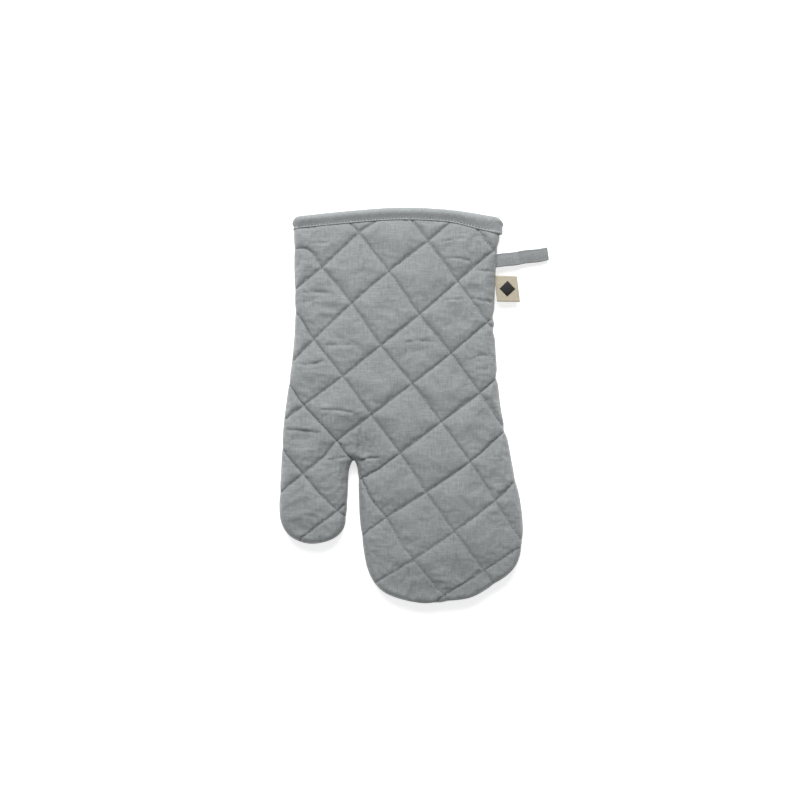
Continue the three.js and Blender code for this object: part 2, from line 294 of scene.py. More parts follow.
def catmull_rom(points, step):
    """Points about every step along the smooth curve through the given ones."""
    p = np.array(points, float)
    p = np.vstack([2 * p[0] - p[1], p, 2 * p[-1] - p[-2]])
    t = np.linspace(0, 1, SPAN_POINTS, endpoint=False)[:, None]
    spans = []
    for a, b, c, d in zip(p, p[1:], p[2:], p[3:]):
        square = 2 * a - 5 * b + 4 * c - d
        cube = 3 * b - a - 3 * c + d
        spans.append(0.5 * (2 * b + (c - a) * t + square * t**2 + cube * t**3))
    fine = np.vstack(spans + [p[-2][None]])
    return resample(fine, step)


def resample(fine, step):
    """Evenly spaced points along a line, about a step apart."""
    along = arc_lengths(fine)
    count = max(2, round(along[-1] / step) + 1)
    at = np.linspace(0, along[-1], count)
    return np.stack([np.interp(at, along, fine[:, k]) for k in range(fine.shape[1])], 1)


MOUTH_CURVE = catmull_rom(MOUTH, CURVE_STEP)


def smooth(x):
    """A gentle step from 0 at 0 to 1 at 1."""
    x = np.clip(x, 0, 1)
    return x * x * (3 - 2 * x)


def mouth_y(x):
    """Height up the mitt of the mouth's edge."""
    return np.interp(x, MOUTH_CURVE[:, 0], MOUTH_CURVE[:, 1])


def binding_flare(x):
    """How much deeper the binding is at x than its section says."""
    return 1 + BINDING_FLARE * smooth((x - FLARE_START) / FLARE_LENGTH)


def binding_edge(x):
    """Height up the mitt of the binding's lower edge."""
    return mouth_y(x) - BINDING_LEG * binding_flare(x)


def inside(points, polygon):
    """Whether each point is inside the closed polygon."""
    a, b = polygon, np.roll(polygon, -1, axis=0)
    x, y = points[:, :1], points[:, 1:]
    crosses = (a[:, 1] > y) != (b[:, 1] > y)
    with np.errstate(divide="ignore", invalid="ignore"):
        at = (b[:, 0] - a[:, 0]) * (y - a[:, 1]) / (b[:, 1] - a[:, 1]) + a[:, 0]
    return (crosses & (x < at)).sum(1) % 2 == 1


def nearest_on(points, line):
    """Distance from each point to an open line, the nearest point on it, and the segment that one is on."""
    tree = KDTree(len(line))
    for i, (x, y) in enumerate(line):
        tree.insert((x, y, 0), i)
    tree.balance()
    near = np.array([tree.find((x, y, 0))[1] for x, y in points], int)
    best = np.full(len(points), np.inf)
    foot = np.zeros((len(points), 2))
    segment = np.zeros(len(points), int)
    for first in (near - 1, near):
        i = np.clip(first, 0, len(line) - 2)
        d = line[i + 1] - line[i]
        t = np.clip(((points - line[i]) * d).sum(1) / (d**2).sum(1), 0, 1)
        q = line[i] + t[:, None] * d
        r = np.linalg.norm(points - q, axis=1)
        better = r < best
        best[better], foot[better], segment[better] = r[better], q[better], i[better]
    return best, foot, segment


# ---- The flat panel: its outline, its quilting lines, and its triangles -----------------------------


def crossings(line, outline):
    """Where a line crosses the closed outline."""
    fine = resample(np.array(line, float), CROSSING_STEP)
    within = inside(fine, outline)
    at = np.flatnonzero(within[1:] != within[:-1])
    return (fine[at] + fine[at + 1]) / 2


def inward_normals(curve):
    """Unit normals on the left of an open curve, which for the seam is the mitt's inside."""
    along = np.gradient(curve, axis=0)
    along /= np.linalg.norm(along, axis=1)[:, None]
    return np.stack([-along[:, 1], along[:, 0]], 1)


PLAIN_SEAM = catmull_rom(SEAM, CURVE_STEP)
QUILTING = [catmull_rom(line, CURVE_STEP) for line in [THUMB_LINE] + RISING_LINES + FALLING_LINES]


def notched_seam(step):
    """The side seam, pulled in a little where each quilting line ends on it, and full between."""
    seam = resample(PLAIN_SEAM, step)
    pull = np.zeros(len(seam))
    for line in QUILTING:
        for end in crossings(line, PLAIN_SEAM):
            if end[1] < binding_edge(end[0]):
                strength = NOTCH_RIGHT if end[0] > 0 and end[1] > NOTCH_LOWEST else NOTCH_LEFT
                far = np.linalg.norm(seam - end, axis=1) / NOTCH_WIDTH
                pull = np.maximum(pull, (strength + BULGE) * np.exp(-far**2))
    return seam + inward_normals(seam) * (pull - BULGE)[:, None]


def beside(line):
    """The mesh rows on both sides of a line."""
    return [line + side * ROW * inward_normals(line) for side in (-1, 1)]


def add_run(points, edges, run, first=(), last=()):
    """Adds a run's points and the edges along it, joined to points that are there already."""
    ids = [*first, *range(len(points), len(points) + len(run)), *last]
    points += list(run)
    edges += list(zip(ids, ids[1:]))
    return np.array([points[i] for i in ids])


def triangle_grid(outline, step):
    """Points all over the inside of the outline, in even triangles."""
    left, bottom = outline.min(0)
    right, top = outline.max(0)
    grid = np.array([
        (x + step / 2 * (row % 2), y)
        for row, y in enumerate(np.arange(bottom, top, step * math.sqrt(3) / 2))
        for x in np.arange(left, right, step)
    ])
    return grid[inside(grid, outline)]


def triangulate(points, edges, outline):
    """The points joined into triangles, and the given points that each one came from."""
    made = delaunay_2d_cdt([Vector(p) for p in points], edges, [], 0, TINY, True)
    flat = np.array([tuple(p) for p in made[0]])
    faces = np.array(made[2])
    faces = faces[inside(flat[faces].mean(1), outline)]
    a, b, c = (flat[faces[:, k]] for k in range(3))
    area = (b - a)[:, 0] * (c - a)[:, 1] - (b - a)[:, 1] * (c - a)[:, 0]
    faces[area < 0] = faces[area < 0][:, ::-1]
    return flat, faces[abs(area) > TINY], made[3]


def flat_panel(step, quilted):
    """The panel cut flat: its points, its triangles, and which points are on the seam and on a line."""
    seam = notched_seam(step)
    seam = seam[seam[:, 1] < mouth_y(seam[:, 0]) - MOUTH_BACK]
    across = np.linspace(seam[-1, 0], seam[0, 0], int((seam[-1, 0] - seam[0, 0]) / step))[1:-1]
    mouth = np.stack([across, mouth_y(across) - MOUTH_BACK], 1)
    outline = np.vstack([seam, mouth])
    closed = np.vstack([outline, outline[:1]])
    points = list(outline)
    edges = [(i, (i + 1) % len(outline)) for i in range(len(outline))]
    lines = []
    rows = []
    for line in QUILTING if quilted else QUILTING[:1]:
        line = resample(line, step)
        ends = [np.linalg.norm(outline - end, axis=1).argmin() for end in crossings(line, outline)]
        inner = line[inside(line, outline)]
        inner = inner[nearest_on(inner, closed)[0] > EDGE_CLEAR * step]
        reach = END_REACH * step
        first = [i for i in ends[:1] if np.linalg.norm(outline[i] - inner[0]) < reach]
        last = [i for i in ends[-1:] if np.linalg.norm(outline[i] - inner[-1]) < reach]
        lines.append(add_run(points, edges, inner, first, last))
        rows += beside(inner)
    folds = []
    for line, _ in CREASES if quilted else ():
        fold = catmull_rom(line, step)
        keep = inside(fold, outline)
        for run in [closed] + lines:
            keep &= nearest_on(fold, run)[0] > ROW
        folds.append(add_run(points, edges, fold[keep]))
        rows += beside(fold[keep])

    rows = np.vstack(rows)
    rows = rows[inside(rows, outline)]
    grid = triangle_grid(outline, step)
    for spare, clear in ((rows, ROW_CLEAR * ROW), (grid, ROW + GRID_CLEAR * step)):
        keep = nearest_on(spare, closed)[0] > EDGE_CLEAR * step
        for run in lines + folds:
            keep &= nearest_on(spare, run)[0] > clear
        points += list(spare[keep])

    flat, faces, origins = triangulate(points, edges, outline)
    on_seam = np.array([any(i < len(seam) for i in origin) for origin in origins])
    on_line = np.zeros(len(flat), bool)
    for run in lines:
        on_line |= nearest_on(flat, run)[0] < ON_LINE
    return flat, faces, on_seam, on_line


# ---- The mitt's form under the puffs ----------------------------------------------------------------


def crown(distance, radius):
    """Rise from the seam, 0 to 1, at a distance in from it: a quarter ellipse, then flat."""
    return np.sqrt(1 - np.clip(1 - distance / radius, 0, 1)**2)


def tip_share(flat):
    """How near the tips each point is, from 0 to 1 at the fingertips."""
    return smooth((TIP_START - flat[:, 1]) / TIP_LENGTH)


def seam_frame(flat):
    """Each point's distance in from the side seam, and the seam's inward direction there."""
    distance, _, segment = nearest_on(flat, PLAIN_SEAM)
    return distance, inward_normals(PLAIN_SEAM)[segment]


def layer(flat, side, depth):
    """Where flat points are on the palm (side 1) or the back (side -1), at a depth into the panel."""
    distance, inwards = seam_frame(flat)
    side = np.broadcast_to(side, len(flat))
    rise = np.where(side > 0, PALM_RISE, BACK_DROP)
    dome = 1 - np.where(side > 0, PALM_DOME, BACK_DOME) * (1 - smooth(distance / DOME_WIDTH))
    edge = EDGE_ROUND + (TIP_EDGE_ROUND - EDGE_ROUND) * tip_share(flat)
    outer = np.column_stack([flat, SEAM_Z + side * rise * dome * crown(distance, edge)])
    push = SEAM_THICK * np.clip(1 - distance / INNER_ROUND, 0, 1)
    inner_rise = rise * dome - PANEL_THICK
    height = SEAM_Z + side * inner_rise * crown(distance, INNER_ROUND)
    inner = np.column_stack([flat + inwards * push[:, None], height])
    return outer + (inner - outer) * (np.broadcast_to(depth, len(flat)) / PANEL_THICK)[:, None]


def puff(flat, runs):
    """How far the wadding lifts the cloth between quilting lines, 0 to 1, at each flat point."""
    near = np.full(len(flat), np.inf)
    for run in runs:
        near = np.minimum(near, nearest_on(flat, run)[0])
    near = np.minimum(near, seam_frame(flat)[0])
    near = np.minimum(near, np.clip(binding_edge(flat[:, 0]) - flat[:, 1], 0, None))
    return crown(near, PUFF_ROUND) * (1 - TIP_FLAT * tip_share(flat))


def bag(flat, faces, on_seam):
    """Both panels as one mesh that shares the seam's points: its flat points and faces, and their sides."""
    back = np.arange(len(flat))
    back[~on_seam] = len(flat) + np.arange((~on_seam).sum())
    points = np.vstack([flat, flat[~on_seam]])
    side = np.concatenate([np.where(on_seam, 0, 1), -np.ones((~on_seam).sum(), int)])
    both = np.vstack([faces, back[faces][:, ::-1]])
    face_side = np.repeat([1, -1], len(faces))
    return points, side, both, face_side


# ---- Making pieces ----------------------------------------------------------------------------------


def mesh_object(name, points_mm, faces, material=None):
    """A smooth mesh object from points in mm and a list of faces."""
    mesh = bpy.data.meshes.new(name)
    corners = [tuple(int(i) for i in face) for face in faces]
    mesh.from_pydata((np.asarray(points_mm) * MM).tolist(), [], corners)
    mesh.shade_smooth()
    mesh.update()
    obj = bpy.data.objects.new(name, mesh)
    bpy.context.scene.collection.objects.link(obj)
    if material:
        mesh.materials.append(material)
    return obj


def set_flat_map(obj, flat_mm):
    """Stores the flat cloth's coordinates, in decimetres, one pair for each face corner."""
    place = (np.asarray(flat_mm, float) * DECIMETRES).ravel().astype(np.float32)
    obj.data.uv_layers.new(name=FLAT_MAP).data.foreach_set("uv", place)


def creases(flat, side):
    """The palm's few sharp folds: how far each point drops into one, or rises beside it."""
    change = np.zeros(len(flat))
    for line, depth in CREASES:
        curve = catmull_rom(line, CURVE_STEP)
        distance, _, segment = nearest_on(flat, curve)
        share = segment / (len(curve) - 2)
        taper = smooth(share / CREASE_TAPER) * smooth((1 - share) / CREASE_TAPER)
        away = np.min([np.linalg.norm(flat - end, axis=1) for end in (curve[0], curve[-1])], axis=0)
        valley = np.exp(-(distance / CREASE_WIDTH)**2)
        ridge = np.exp(-((distance - RIDGE_PLACE * CREASE_WIDTH) / CREASE_WIDTH)**2)
        change += depth * taper * (RIDGE_HEIGHT * ridge - valley) * (away > CREASE_END)
    return np.where(side > 0, change, 0)


def add_cloth(obj, pinned, calm):
    """Gives an object Blender's cloth, held at its pinned points, with the least slack where calm is 1."""
    held = obj.vertex_groups.new(name="held")
    held.add(np.flatnonzero(pinned).tolist(), 1.0, "REPLACE")
    smooth_group = obj.vertex_groups.new(name="smooth")
    for i, weight in enumerate(calm):
        smooth_group.add([i], float(weight), "REPLACE")
    cloth = obj.modifiers.new("cloth", "CLOTH")
    settings = cloth.settings
    settings.quality = 6
    settings.mass = CLOTH_MASS
    settings.vertex_group_mass = held.name
    settings.shrink_min = -SLACK_BY_SEAM
    settings.shrink_max = -SLACK
    settings.vertex_group_shrink = smooth_group.name
    settings.tension_stiffness = settings.compression_stiffness = STRETCH
    settings.shear_stiffness = SHEAR
    settings.bending_stiffness = BENDING
    settings.tension_damping = settings.compression_damping = DAMPING
    settings.air_damping = 1
    settings.use_pressure = True
    settings.uniform_pressure_force = PRESSURE
    settings.effector_weights.gravity = 0
    cloth.collision_settings.use_collision = False
    cloth.point_cache.frame_start, cloth.point_cache.frame_end = 1, FRAMES


def settled(obj):
    """Runs an object's cloth, removes the object, and returns its points in mm."""
    scene = bpy.context.scene
    for at in range(1, FRAMES + 1):
        scene.frame_set(at)
    done = obj.evaluated_get(bpy.context.evaluated_depsgraph_get())
    result = np.empty(len(obj.data.vertices) * 3)
    done.data.vertices.foreach_get("co", result)
    scene.frame_set(1)
    bpy.data.objects.remove(obj, do_unlink=True)
    return result.reshape(-1, 3) / MM


def simulate(points, side, faces, on_line, on_seam, runs):
    """Puffs the outer cloth up between its quilting lines with Blender's cloth: its points in mm."""
    pull = LINE_SINK + STITCH_PULL * np.random.RandomState(PULL_SEED).uniform(size=len(points))
    start = layer(points, side, pull * (on_line & ~on_seam))
    start[:, 2] += side * puff(points, runs) * PUFF
    start[:, 2] = np.maximum(start[:, 2], FLOOR_CLEAR)
    pinned = on_line | on_seam | (points[:, 1] > binding_edge(points[:, 0]) - 1)
    jitter = np.random.RandomState(JITTER_SEED).normal(0, JITTER, start.shape)
    start[~pinned] += jitter[~pinned]
    obj = mesh_object("cloth_work", start, faces)
    add_cloth(obj, pinned, smooth(seam_frame(points)[0] / SLACK_WIDTH))
    moved = settled(obj) - start
    far = np.linalg.norm(moved, axis=1)
    result = start + moved * np.minimum(1, MOVE_CAP / np.maximum(far, TINY))[:, None]
    result[:, 2] += creases(points, side)
    result[:, 2] = np.maximum(result[:, 2], FLOOR_CLEAR)
    return result


def thicken(name, outer, inner, faces, corners, material):
    """A closed piece between two surfaces with the same faces, with its rims sharp."""
    used = np.unique(faces)
    count = len(used)
    place = np.full(len(outer), -1)
    place[used] = np.arange(count)
    top = place[faces]
    under = (top + count)[:, ::-1]
    edges = dict.fromkeys((a, b) for face in top for a, b in zip(face, np.roll(face, -1)))
    rim = [(a, b) for a, b in edges if (b, a) not in edges]
    walls = [(b, a, a + count, b + count) for a, b in rim]
    points = np.vstack([outer[used], inner[used]])
    obj = mesh_object(name, points, [*map(tuple, top), *map(tuple, under), *walls], material)
    sharp = {tuple(sorted(e)) for a, b in rim for e in ((a, b), (a + count, b + count))}
    flags = [tuple(sorted(e.vertices)) in sharp for e in obj.data.edges]
    obj.data.attributes.new("sharp_edge", "BOOLEAN", "EDGE").data.foreach_set("value", flags)
    by_point = np.zeros((count, 2))
    by_point[top.ravel()] = corners.reshape(-1, 2)
    on_walls = by_point[[i for a, b in rim for i in (b, a, a, b)]]
    set_flat_map(obj, np.vstack([corners.reshape(-1, 2), corners[:, ::-1].reshape(-1, 2), on_walls]))
    return obj


def stitch_row(name, runs, side, material, line_depth):
    """Short raised threads along flat runs, each with its ends sunk in the cloth."""
    pieces = []
    for run in runs:
        fine = resample(run, STITCH_STEP)
        order = np.arange(len(fine))
        length = STITCH_STEP * (len(fine) - 1)
        pitch = STITCH_LONG + STITCH_GAP
        for start in STITCH_GAP + pitch * np.arange(int((length - STITCH_GAP) / pitch)):
            at = (start + STITCH_SHAPE[:, 0] * STITCH_LONG) / STITCH_STEP
            pieces.append(np.stack([np.interp(at, order, fine[:, k]) for k in (0, 1)], 1))
    flat = np.vstack(pieces)
    count, long = len(pieces), len(STITCH_SHAPE)
    sides = np.broadcast_to(side, count * long)
    depth = line_depth - np.tile(STITCH_SHAPE[:, 1], count)
    centres = layer(flat, sides, depth)
    above = centres - layer(flat, sides, depth + 1.0)
    return thread_mesh(name, centres.reshape(count, long, 3), above.reshape(count, long, 3), material)


def stitch_rows(name, runs, material, line_depth=LINE_SINK):
    """The same stitches on the palm and on the back."""
    sides = (("palm", 1), ("back", -1))
    return [stitch_row(f"{name}_{panel}", runs, side, material, line_depth) for panel, side in sides]


def thread_mesh(name, centres, above, material):
    """One mesh of many short threads. centres and above are (threads, points, 3)."""
    count, long, _ = centres.shape
    along = np.gradient(centres, axis=1)
    along /= np.linalg.norm(along, axis=2)[..., None]
    aside = np.cross(along, above)
    aside /= np.linalg.norm(aside, axis=2)[..., None]
    up = np.cross(aside, along)
    turn = np.linspace(0, 2 * math.pi, THREAD_SIDES, endpoint=False)
    radius = THREAD / 2 * STITCH_SHAPE[:, 2]
    ring = np.cos(turn)[:, None] * aside[:, :, None] + np.sin(turn)[:, None] * up[:, :, None]
    points = centres[:, :, None] + ring * radius[None, :, None, None]
    faces = []
    for t in range(count):
        base = t * long * THREAD_SIDES
        for k in range(long - 1):
            a = base + k * THREAD_SIDES
            for j in range(THREAD_SIDES):
                i = (j + 1) % THREAD_SIDES
                faces.append((a + j, a + THREAD_SIDES + j, a + THREAD_SIDES + i, a + i))
        faces.append(tuple(range(base, base + THREAD_SIDES)))
        last = base + (long - 1) * THREAD_SIDES
        faces.append(tuple(range(last + THREAD_SIDES - 1, last - 1, -1)))
    return mesh_object(name, points.reshape(-1, 3), faces, material)


def swept(name, rings, closed, material, u, v):
    """A surface through rings of points, (rings, points in a ring, 3), capped unless it closes on itself.

    u and v are the flat cloth's coordinates along it and round a ring.
    """
    count, around, _ = rings.shape
    faces = []
    corners = []
    for k in range(count if closed else count - 1):
        n = (k + 1) % count
        for j in range(around):
            i = (j + 1) % around
            faces.append((k * around + j, k * around + i, n * around + i, n * around + j))
            corners += [(u[k], v[j]), (u[k], v[j + 1]), (u[k + 1], v[j + 1]), (u[k + 1], v[j])]
    if not closed:
        faces.append(tuple(range(around - 1, -1, -1)))
        corners += [(u[0], at) for at in v[around - 1::-1]]
        faces.append(tuple(range((count - 1) * around, count * around)))
        corners += [(u[-1], at) for at in v[:around]]
    obj = mesh_object(name, rings.reshape(-1, 3), faces, material)
    set_flat_map(obj, corners)
    return obj


# ---- The binding, the loop and the label ------------------------------------------------------------

# The stretches of the side seam next to the mouth, from below up.
EDGE_POINTS = 80
LEFT_EDGE = PLAIN_SEAM[:EDGE_POINTS][::-1]
RIGHT_EDGE = PLAIN_SEAM[-EDGE_POINTS:]


def mouth_point(share, down):
    """Flat point at a share of the way across the mouth, and that far down from its edge."""
    x = np.interp(share, [0, 1], [LEFT_EDGE[-1, 0], RIGHT_EDGE[-1, 0]])
    y = mouth_y(x) - down
    left = np.interp(y, LEFT_EDGE[:, 1], LEFT_EDGE[:, 0])
    right = np.interp(y, RIGHT_EDGE[:, 1], RIGHT_EDGE[:, 0])
    return np.column_stack([left + (right - left) * share, y])


def mouth_ring(count):
    """Shares across the mouth, over the palm and back over the back panel, closely spaced at the corners."""
    t = (np.arange(count) + 0.5) / count
    share = 0.5 - 0.5 * np.cos(math.pi * t)
    return np.concatenate([share, share[::-1]]), np.repeat([1, -1], count)


def make_binding(material):
    """The binding: a tape folded over the mouth's edge, all the way round."""
    share, side = mouth_ring(RING_COUNT)
    wave = np.sin(share * WAVE_COUNTS[0] + side) * np.sin(share * WAVE_COUNTS[1] + 2 * side)
    rings = []
    across = mouth_point(share, 0)[:, 0]
    width = RIGHT_EDGE[-1, 0] - LEFT_EDGE[-1, 0]
    corner = CORNER_ROUND * (1 - crown(width * np.minimum(share, 1 - share), CORNER_ROUND))
    left = np.exp(-(width * share / CORNER_WIDTH)**2)
    right = np.exp(-(width * (1 - share) / CORNER_WIDTH)**2)
    for depth, down in BINDING_SECTION:
        outside = depth < OUTER_FACE
        swell = 1 + outside * (BINDING_WAVE * wave - CORNER_FLAT * left)
        lowered = down * binding_flare(across) + corner * max(0, 1 - down / BINDING_LEG)
        firm = right * (outside and LOWER_HALF[0] < down < LOWER_HALF[1])
        at = layer(mouth_point(share, lowered), side, depth * swell * (1 - firm) + CORNER_DEPTH * firm)
        at[:, 2] = np.maximum(at[:, 2], FLOOR_CLEAR)
        rings.append(at)
    rings = np.stack(rings, 1)
    middle = rings[:, MIDDLE_OF_LEG]
    u = arc_lengths(np.vstack([middle, middle[:1]]))
    section = np.array(BINDING_SECTION)
    v = arc_lengths(np.vstack([section, section[:1]]))
    return swept("cuff_binding_tape", rings[:, ::-1], True, material, u, v[::-1])


def tape(name, centres, lateral, width, thick, material):
    """A flat strip along centres, whose section runs across it along lateral."""
    along = np.gradient(centres, axis=0)
    along /= np.linalg.norm(along, axis=1)[:, None]
    lateral = np.broadcast_to(lateral, centres.shape)
    out = np.cross(along, lateral)
    out /= np.linalg.norm(out, axis=1)[:, None]
    across, height = np.array(TAPE_SECTION).T * [[width / 2], [thick / 2]]
    rings = centres[:, None] + lateral[:, None] * across[:, None] + out[:, None] * height[:, None]
    u = arc_lengths(centres)
    v = arc_lengths(np.vstack([rings[0], rings[0][:1]]))
    return swept(name, rings, False, material, u, v)


def turned(points, degrees, centre):
    """Points turned about the vertical through a centre."""
    c, s = math.cos(math.radians(degrees)), math.sin(math.radians(degrees))
    return (np.asarray(points) @ np.array([[c, s, 0], [-s, c, 0], [0, 0, 1]])) + centre


def make_loop(material):
    """The hanging loop: a folded tape doubled back on itself, its two ends in the side seam."""
    start_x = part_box("hanging_loop")[0][0] / MM
    root = np.array([start_x - LOOP_SEWN_IN, LOOP_ROOT_Y, SEAM_Z])
    fine = catmull_rom(LOOP_PATH, LOOP_STEP)
    out = fine[:, 0]
    wobble = LOOP_WOBBLE * np.sin(out * WOBBLE_RATE) * np.clip(out / WOBBLE_START, 0, 1)
    centres = turned(np.column_stack([out, wobble, fine[:, 1]]), LOOP_TURN, root)
    twist = math.radians(LOOP_TWIST) * smooth((out - LOOP_CREASE) / TWIST_LENGTH + 0.5)
    lateral = turned(np.column_stack([0 * twist, np.cos(twist), np.sin(twist)]), LOOP_TURN, 0)
    return tape("hanging_loop_tape", centres, lateral, LOOP_WIDTH, LOOP_THICK, material)


def make_label(material, thread):
    """The side label: a folded cotton tape with a woven diamond."""
    root = np.array([LABEL_ROOT[0], LABEL_ROOT[1], SEAM_Z])
    fine = catmull_rom(LABEL_PATH, LABEL_STEP)
    centres = turned(np.column_stack([fine[:, 0], 0 * fine[:, 0], fine[:, 1]]), LABEL_TURN, root)
    lateral = turned([[0, 1, 0]], LABEL_TURN, 0)[0]
    lateral = lateral - LABEL_SLANT * turned([[1, 0, 0]], LABEL_TURN, 0)[0]
    label = tape("label_cloth", centres, lateral, LABEL_WIDTH, LABEL_THICK, material)
    upper = fine[:fine[:, 0].argmax()]
    rows = []
    for k in range(-MARK_ROWS, MARK_ROWS + 1):
        half = MARK_HALF * (1 - abs(k) / (MARK_ROWS + 1))
        x = MARK_X + k * MARK_PITCH
        top = np.interp(x, upper[:, 0], upper[:, 1]) + LABEL_THICK / 2
        y = np.linspace(-half, half, len(STITCH_SHAPE))
        rows.append(np.column_stack([np.full(len(y), x), y, np.full(len(y), top + MARK_RISE)]))
    rows = np.stack([turned(row, LABEL_TURN, root) for row in rows])
    mark = thread_mesh("label_woven_mark", rows, np.broadcast_to([0.0, 0, 1], rows.shape), thread)
    return label, mark


# ---- Materials --------------------------------------------------------------------------------------


def put(tree, kind, inputs=(), **settings):
    """Adds a shader node. Each input is a socket's name or number with a value or another node's output."""
    made = tree.nodes.new("ShaderNode" + kind)
    for key, value in settings.items():
        setattr(made, key, value)
    for socket, value in dict(inputs).items():
        if isinstance(value, bpy.types.NodeSocket):
            tree.links.new(value, made.inputs[socket])
        else:
            made.inputs[socket].default_value = value
    return made


def maths(tree, operation, a, b=0.0, c=0.0):
    """The output of a Math node."""
    return put(tree, "Math", {0: a, 1: b, 2: c}, operation=operation).outputs[0]


def linear(rgb):
    """A colour given as on a screen, 0 to 255, as linear light."""
    return [((c / 255 + 0.055) / 1.055)**2.4 if c > 10 else c / 255 / 12.92 for c in rgb] + [1.0]


def streaks(tree, where, across, along, turn, seed):
    """Noise drawn out into threads: fine across them and long along them."""
    place = put(tree, "Mapping", {0: where, 1: (seed, seed, seed), 2: (0, 0, turn)})
    place = put(tree, "Mapping", {0: place.outputs[0], 3: (1 / across, 1 / along, 1)})
    return put(tree, "TexNoise", {0: place.outputs[0], "Scale": 1.0, "Detail": 2.0}).outputs[0]


def threads_of(tree, where, pitch, turn):
    """The rounded threads of a plain weave: a height of 0 to 1 for each of its two directions."""
    place = put(tree, "Mapping", {0: where, 2: (0, 0, turn), 3: (math.pi / pitch, math.pi / pitch, 1)})
    wobble = put(tree, "TexNoise", {0: where, "Scale": 0.35, "Detail": 1.0})
    place = put(tree, "VectorMath", {0: wobble.outputs[1], 1: (2.2, 2.2, 0), 2: place.outputs[0]},
                operation="MULTIPLY_ADD")
    parts = put(tree, "SeparateXYZ", {0: place.outputs[0]})
    x, y = (maths(tree, "SINE", parts.outputs[k]) for k in (0, 1))
    over = maths(tree, "MULTIPLY", x, y)
    return maths(tree, "MULTIPLY_ADD", over, 0.5, 0.5)


def blended(tree, share, first, second):
    """A colour between two others, each a colour or a node's output."""
    inputs = {0: share, 6: first, 7: second}
    return put(tree, "Mix", inputs, data_type="RGBA", clamp_factor=True).outputs[2]


def new_look(name):
    """A material, its node tree, and its shader."""
    material = bpy.data.materials.new(name)
    material.use_nodes = True
    tree = material.node_tree
    return material, tree, tree.nodes["Principled BSDF"]


def finish_look(tree, face, colour, height, strength, distance):
    """Joins a colour and a height to the shader."""
    tree.links.new(colour, face.inputs["Base Color"])
    raised = put(tree, "Bump", {"Strength": strength, "Distance": distance, "Height": height})
    tree.links.new(raised.outputs[0], face.inputs["Normal"])


# Sizes in the cloth's looks, in mm or as shares of the weave's pitch.
YARN_WIDTH = 1.1
YARN_LENGTH = 22
SLUB_WIDTH = 0.9
SLUB_LENGTH = 2.4
SLUB_RANGE = (0.76, 0.80)  # the noise from which a slub starts, and is full
SLUB_SHADE = 0.45
TONE_RANGE = 0.62
# How strongly each of these changes the cloth's tone.
YARN_TONE = 1.3
FINE_TONE = 1.5
WEAVE_TONE = 0.35
BROAD_TONE = 0.6
WEAVE_HEIGHT = 0.00012  # in metres


def around(tree, value, strength, tone):
    """The tone, changed by how far a value is from its middle."""
    return maths(tree, "MULTIPLY_ADD", maths(tree, "SUBTRACT", value, 0.5), strength, tone)


def woven(name, dark, light, pitch=0.62, turn=0.0, slubs=0.5):
    """Cloth of a coloured warp and a pale weft, with uneven threads, a few dark slubs and a soft sheen."""
    material, tree, face = new_look(name)
    flat = put(tree, "UVMap", uv_map=FLAT_MAP)
    where = put(tree, "VectorMath", {0: flat.outputs[0], 3: 1 / DECIMETRES}, operation="SCALE").outputs[0]
    over = turn + math.pi / 2
    weave = threads_of(tree, where, pitch, turn)
    warp = streaks(tree, where, YARN_WIDTH * pitch, YARN_LENGTH * pitch, turn, 3.0)
    weft = streaks(tree, where, YARN_WIDTH * pitch, YARN_LENGTH * pitch, over, 11.0)
    fine = put(tree, "TexNoise", {0: where, "Scale": 0.55, "Detail": 4.0, "Roughness": 0.7}).outputs[0]
    broad = put(tree, "TexNoise", {0: where, "Scale": 0.035, "Detail": 2.0}).outputs[0]
    tone = maths(tree, "MULTIPLY_ADD", maths(tree, "ADD", warp, weft), YARN_TONE, 0.5 - YARN_TONE)
    for value, strength in ((fine, FINE_TONE), (weave, WEAVE_TONE), (broad, BROAD_TONE)):
        tone = around(tree, value, strength, tone)
    tone = around(tree, tone, TONE_RANGE, 0.5)
    colour = blended(tree, tone, linear(dark), linear(light))
    slub = maths(tree, "MAXIMUM", streaks(tree, where, SLUB_WIDTH, SLUB_LENGTH, turn, 29.0),
                 streaks(tree, where, SLUB_WIDTH, SLUB_LENGTH, over, 41.0))
    limits = {1: SLUB_RANGE[0], 2: SLUB_RANGE[1], 3: 0.0, 4: slubs}
    slub = put(tree, "MapRange", {0: slub, **limits}).outputs[0]
    darker = [SLUB_SHADE * c for c in linear(dark)[:3]] + [1.0]
    height = maths(tree, "MULTIPLY_ADD", tone, 0.35, weave)
    finish_look(tree, face, blended(tree, slub, colour, darker), height, 0.5, WEAVE_HEIGHT)
    tree.links.new(maths(tree, "MULTIPLY_ADD", weave, -0.1, 0.93), face.inputs["Roughness"])
    face.inputs["Specular IOR Level"].default_value = 0.18
    face.inputs["Sheen Weight"].default_value = 0.25
    face.inputs["Sheen Roughness"].default_value = 0.6
    return material


TWISTS = 900.0  # how close the yarn's twists are
TWIST_HEIGHT = 0.0001  # in metres


def yarn(name, dark, light):
    """Twisted sewing thread, with its tone changing along it."""
    material, tree, face = new_look(name)
    where = put(tree, "TexCoord").outputs["Object"]
    twist = put(tree, "TexWave", {0: where, "Scale": TWISTS, "Distortion": 1.5, "Detail": 1.0},
                bands_direction="DIAGONAL").outputs[1]
    patch = put(tree, "TexNoise", {0: where, "Scale": 160.0, "Detail": 2.0}).outputs[0]
    tone = around(tree, twist, 0.5, patch)
    colour = blended(tree, tone, linear(dark), linear(light))
    finish_look(tree, face, colour, twist, 0.6, TWIST_HEIGHT)
    face.inputs["Roughness"].default_value = 0.72
    face.inputs["Specular IOR Level"].default_value = 0.3
    return material


# ---- The mitt ---------------------------------------------------------------------------------------


